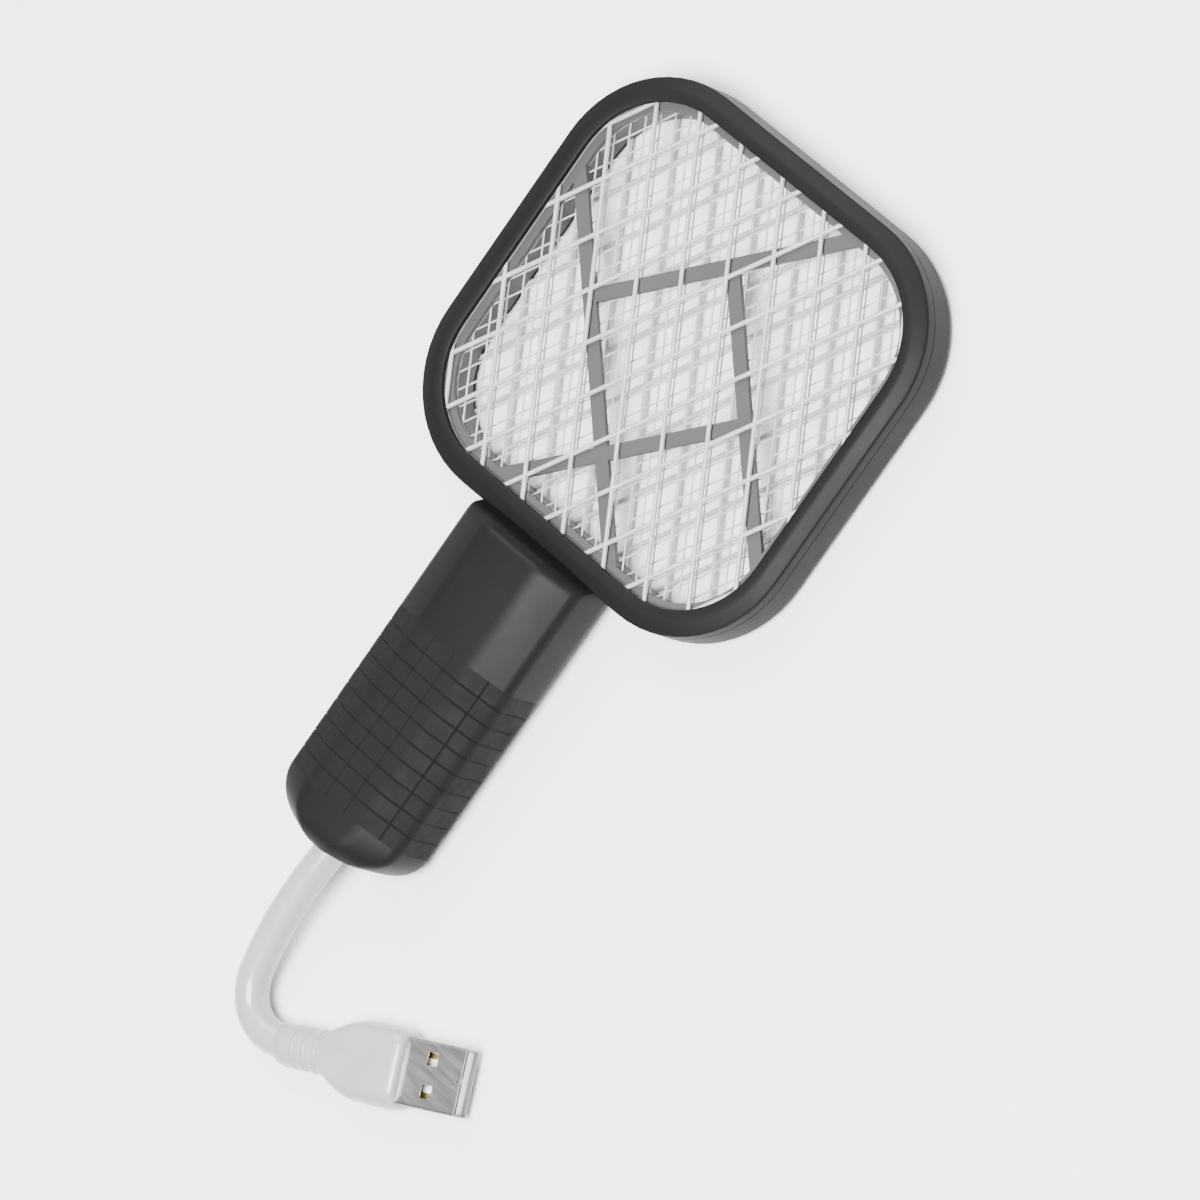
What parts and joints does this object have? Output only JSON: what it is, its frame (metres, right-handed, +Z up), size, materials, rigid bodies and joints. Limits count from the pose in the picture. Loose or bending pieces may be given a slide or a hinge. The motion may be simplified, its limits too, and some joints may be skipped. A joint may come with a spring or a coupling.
{
  "type": "electric fly swatter",
  "caption": "Small rechargeable electric fly swatter: rounded square head with diamond wire guards over a live mesh, gripped handle, charging cord and plug.",
  "frame": {"origin": "centre of the swatter's length and width, on the resting plane under its back", "axes": "+X across the handle, +Y along the handle towards the far end of the head, +Z up out of the front face"},
  "size_m": [0.0912, 0.1834, 0.0167],
  "materials": {
    "casing": "satin charcoal",
    "grip": "matte, moulded squares",
    "guard_wire": "white enamelled wire",
    "live_wire": "bright fine wire",
    "spacer_grey": "matte grey",
    "spacer_dark": "matte near-black",
    "screw": "zinc plated",
    "button": "matte mid grey",
    "switch_black": "black moulding",
    "switch_stem": "ochre moulding",
    "board": "green solder mask",
    "ferrite": "grey ferrite",
    "winding": "yellow taped winding",
    "film_cap": "dipped red-brown",
    "resistor": "tan with bands",
    "led": "clear epoxy",
    "lens": "clear light pipe",
    "cell_wrap": "pouch foil",
    "foam": "black foam tape",
    "lead_red": "red insulated wire",
    "lead_white": "white insulated wire",
    "cord_white": "pearl white jacket",
    "plug_white": "pearl white moulding",
    "plug_metal": "nickel plated",
    "insulator": "white insulator",
    "contact": "gold plated"
  },
  "bodies": {
    "swatter": {"front_casing": "casing", "rear_casing": "casing", "grip_front": "grip", "grip_rear": "grip", "front_guard": "guard_wire", "rear_guard": "guard_wire", "front_spacer": "spacer_grey", "rear_spacer": "spacer_dark", "centre_mesh": "live_wire", "casing_screws": "screw", "switch_body": "switch_black", "circuit_board": "board", "transformer_core": "ferrite", "transformer_winding": "winding", "hv_capacitor": "film_cap", "rectifier_diodes": "switch_black", "resistors": "resistor", "control_chip": "switch_black", "oscillator_transistor": "switch_black", "indicator_led": "led", "led_lens": "lens", "battery_cell": "cell_wrap", "battery_pad": "foam", "battery_leads": "lead_red", "charge_leads": "lead_white", "mesh_leads": "lead_red", "cord_grommet": "cord_white", "cord_clamp": "spacer_grey", "usb_cord": "cord_white", "plug_strain_relief": "plug_white", "plug_overmold": "plug_white", "plug_shell": "plug_metal", "plug_insulator": "insulator", "plug_contacts": "contact"},
    "button": {"power_button": "button"},
    "plunger": {"switch_plunger": "switch_stem"}
  },
  "joints": [
    {"name": "button_press", "type": "slide", "parent": "swatter", "child": "button", "axis": [0, 0, 1], "range_m": [0, 0.0008], "stiffness_N_per_m": 900, "springref_m": -0.0006},
    {"name": "plunger_press", "type": "slide", "parent": "swatter", "child": "plunger", "axis": [0, 0, 1], "range_m": [0, 0.0008]}
  ],
  "couplings": [
    {"joint": "plunger_press", "follows": "button_press", "ratio": 1}
  ]
}
